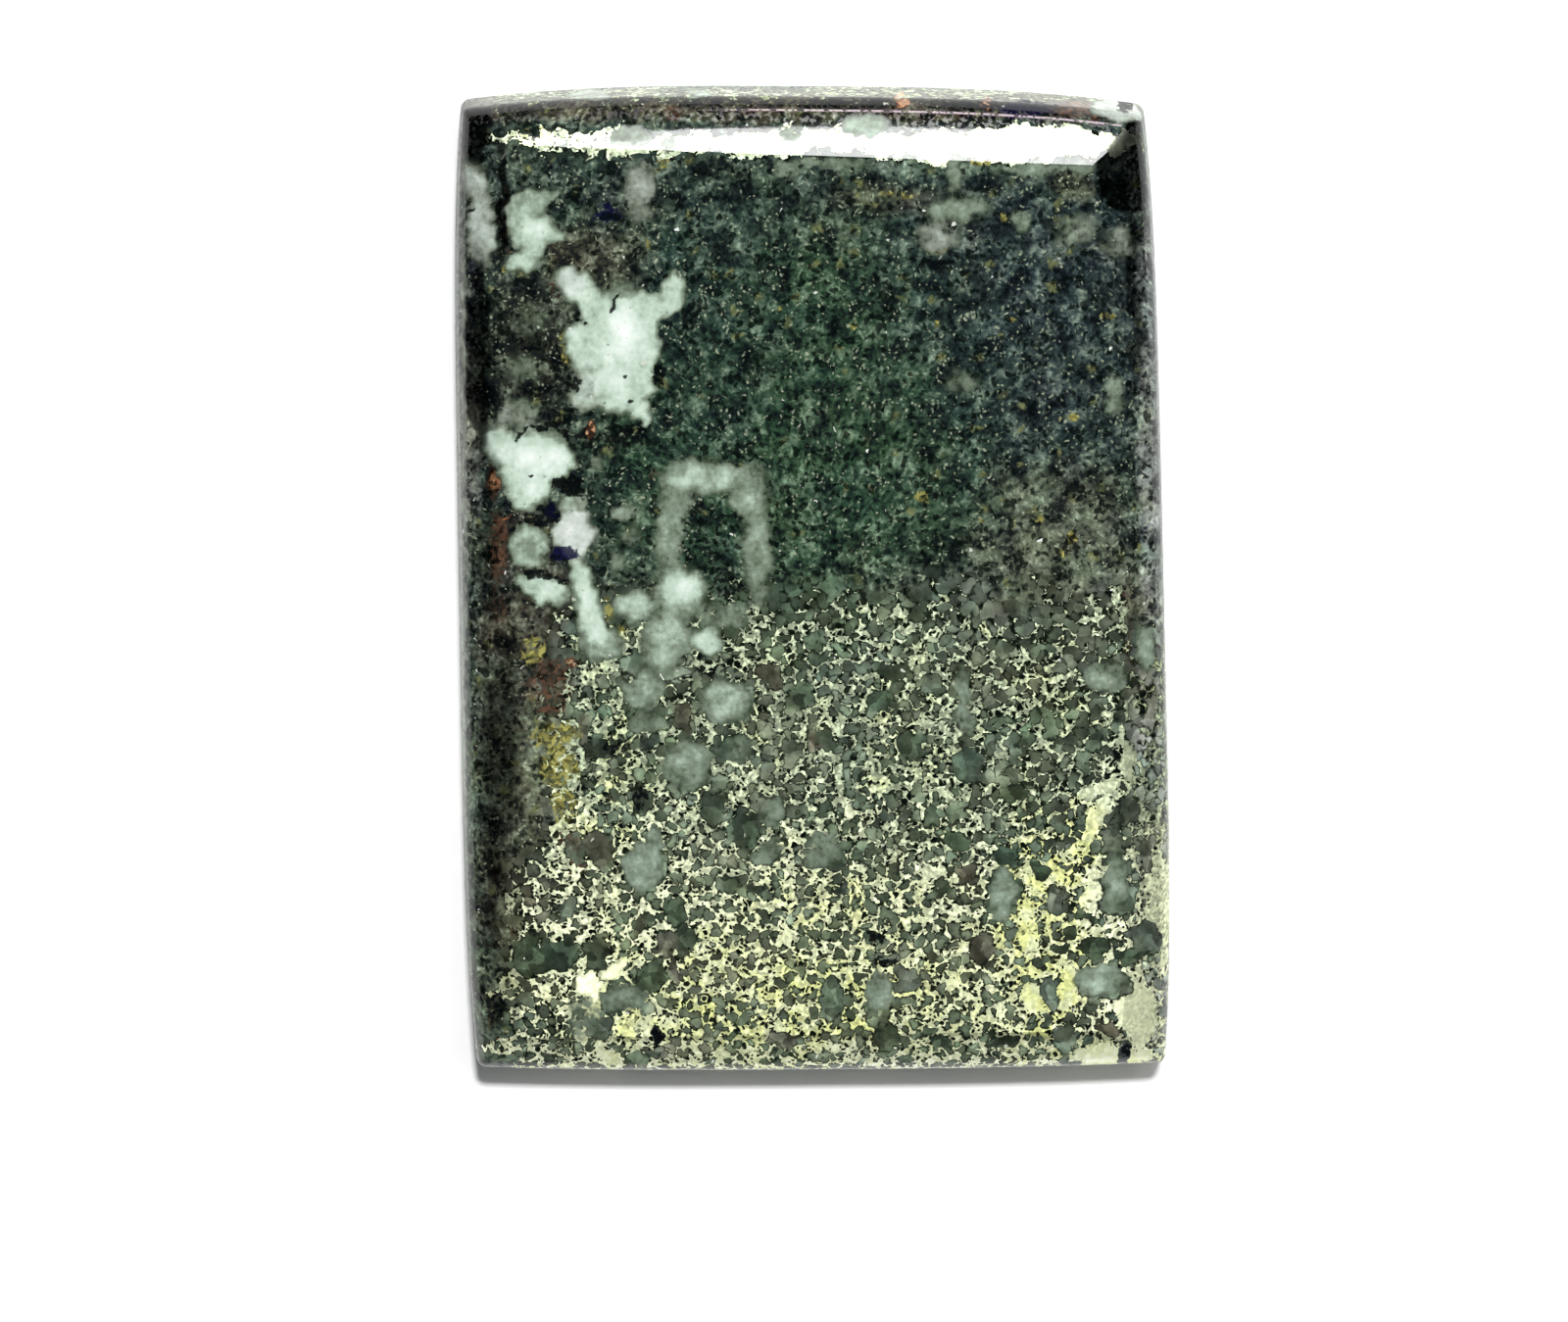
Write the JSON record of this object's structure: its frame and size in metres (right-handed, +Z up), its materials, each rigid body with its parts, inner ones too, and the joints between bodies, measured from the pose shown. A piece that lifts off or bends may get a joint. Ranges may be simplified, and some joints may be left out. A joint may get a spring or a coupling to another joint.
{
  "type": "silver in quartz cabochon",
  "caption": "Flat rectangular polished cabochon with bevelled edges, bowed sides and a flat back, cut from dark green quartz rock laced with native silver.",
  "frame": {"origin": "centre of the bounding box on the surface that the back of the stone rests on", "axes": "+Z up out of the polished table, +Y along the stone's length towards the end with the white quartz, +X across its width"},
  "size_m": [0.0247, 0.0339, 0.0042],
  "materials": {
    "silver_quartz": "polished dark green and white quartz with a lace of bright native silver"
  },
  "bodies": {
    "root": {"cabochon": "silver_quartz"}
  },
  "joints": []
}
